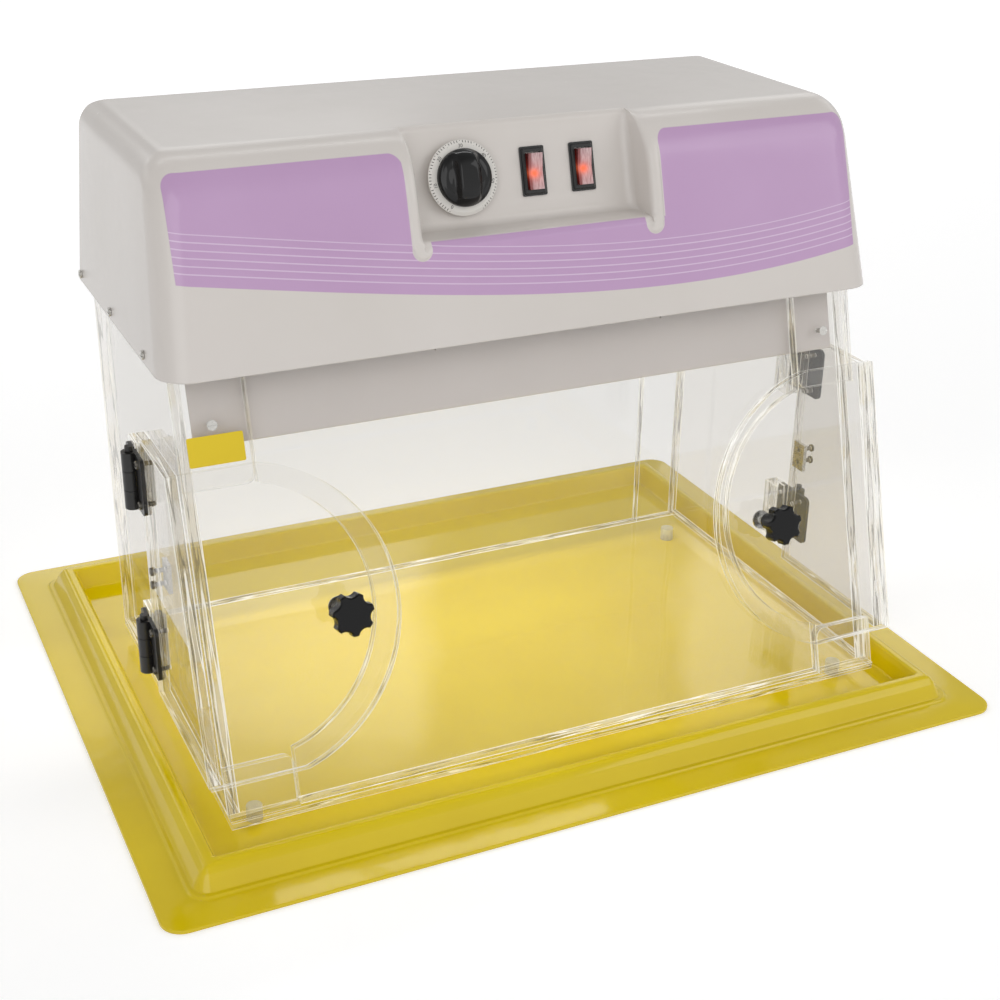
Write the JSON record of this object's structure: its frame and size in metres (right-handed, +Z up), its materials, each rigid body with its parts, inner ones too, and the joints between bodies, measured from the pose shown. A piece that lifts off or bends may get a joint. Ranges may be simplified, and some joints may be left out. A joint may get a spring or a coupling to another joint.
{
  "type": "pcr workstation",
  "caption": "Clear-walled bench cabinet with a leaning front, swinging hand-opening doors and a lamp hood with timer and switches, standing in a formed spill tray.",
  "frame": {"origin": "centre of the tray's underside, on the bench", "axes": "+X to the cabinet's right as its user sees it, +Y towards its back, +Z up"},
  "size_m": [0.75, 0.6, 0.5081],
  "materials": {
    "tray_yellow": "gloss, formed sheet",
    "clear_acrylic": "clear, polished",
    "foot_rubber": "matte",
    "zinc_steel": "bright zinc",
    "label_yellow": "satin film",
    "chassis_metal": "satin",
    "lamp_glass": "clear glass",
    "lamp_glass_white": "phosphor-coated glass, gloss",
    "cap_aluminium": "satin",
    "white_plastic": "satin",
    "ballast_paint": "satin",
    "hood_cream": "gloss",
    "grey_plastic": "matte",
    "dial_white": "gloss",
    "knob_black": "gloss",
    "switch_black": "satin",
    "rocker_red": "translucent, lit",
    "hinge_black": "satin"
  },
  "bodies": {
    "cabinet": {"back_strip": "clear_acrylic", "back_wall": "clear_acrylic", "ballasts": "ballast_paint", "base_plate": "clear_acrylic", "chassis_screws": "zinc_steel", "front_window": "clear_acrylic", "hood": "hood_cream", "hood_bushes": "white_plastic", "hood_screws": "zinc_steel", "lamp_caps": "cap_aluminium", "lamp_chassis": "chassis_metal", "lamp_holders": "white_plastic", "left_fixed_leaf_screws": "zinc_steel", "left_fixed_leaves": "hinge_black", "left_hinge_pins": "zinc_steel", "left_hinge_spacers": "clear_acrylic", "left_lower_tab": "clear_acrylic", "left_side_wall": "clear_acrylic", "left_upper_tab": "clear_acrylic", "light_switch_housing": "switch_black", "plain_label": "label_yellow", "power_inlet": "switch_black", "power_switch_housing": "switch_black", "right_fixed_leaf_screws": "zinc_steel", "right_fixed_leaves": "hinge_black", "right_hinge_pins": "zinc_steel", "right_hinge_spacers": "clear_acrylic", "right_lower_tab": "clear_acrylic", "right_side_wall": "clear_acrylic", "right_upper_tab": "clear_acrylic", "rim_pads": "hood_cream", "rubber_feet": "foot_rubber", "timer_body": "grey_plastic", "tray": "tray_yellow", "uv_lamp": "lamp_glass", "white_lamp": "lamp_glass_white", "window_clips": "zinc_steel"},
    "left_door": {"left_door_plate": "clear_acrylic", "left_door_leg": "clear_acrylic", "left_door_keeper": "zinc_steel", "left_moving_leaves": "hinge_black", "left_door_screws": "zinc_steel", "left_star_knob": "knob_black", "left_knob_fixings": "zinc_steel"},
    "right_door": {"right_door_plate": "clear_acrylic", "right_door_leg": "clear_acrylic", "right_door_keeper": "zinc_steel", "right_moving_leaves": "hinge_black", "right_door_screws": "zinc_steel", "right_star_knob": "knob_black", "right_knob_fixings": "zinc_steel"},
    "timer": {"timer_dial": "dial_white", "timer_knob": "knob_black"},
    "light_switch": {"light_rocker": "rocker_red"},
    "power_switch": {"power_rocker": "rocker_red"}
  },
  "joints": [
    {"name": "left_door_swing", "type": "hinge", "parent": "cabinet", "child": "left_door", "pos_m": [-0.32, -0.053, 0.1725], "axis": [0, 0, -1], "range_deg": [0, 110]},
    {"name": "right_door_swing", "type": "hinge", "parent": "cabinet", "child": "right_door", "pos_m": [0.32, -0.053, 0.1725], "axis": [0, 0, 1], "range_deg": [0, 110]},
    {"name": "timer_turn", "type": "hinge", "parent": "cabinet", "child": "timer", "pos_m": [-0.0515, -0.07967, 0.46742], "axis": [0, 0.9609, -0.2768], "range_deg": [0, 300]},
    {"name": "light_switch_rock", "type": "hinge", "parent": "cabinet", "child": "light_switch", "pos_m": [0.012, -0.07967, 0.46742], "axis": [-1, 0, 0], "range_deg": [0, 8]},
    {"name": "power_switch_rock", "type": "hinge", "parent": "cabinet", "child": "power_switch", "pos_m": [0.0557, -0.07967, 0.46742], "axis": [-1, 0, 0], "range_deg": [0, 8]}
  ]
}
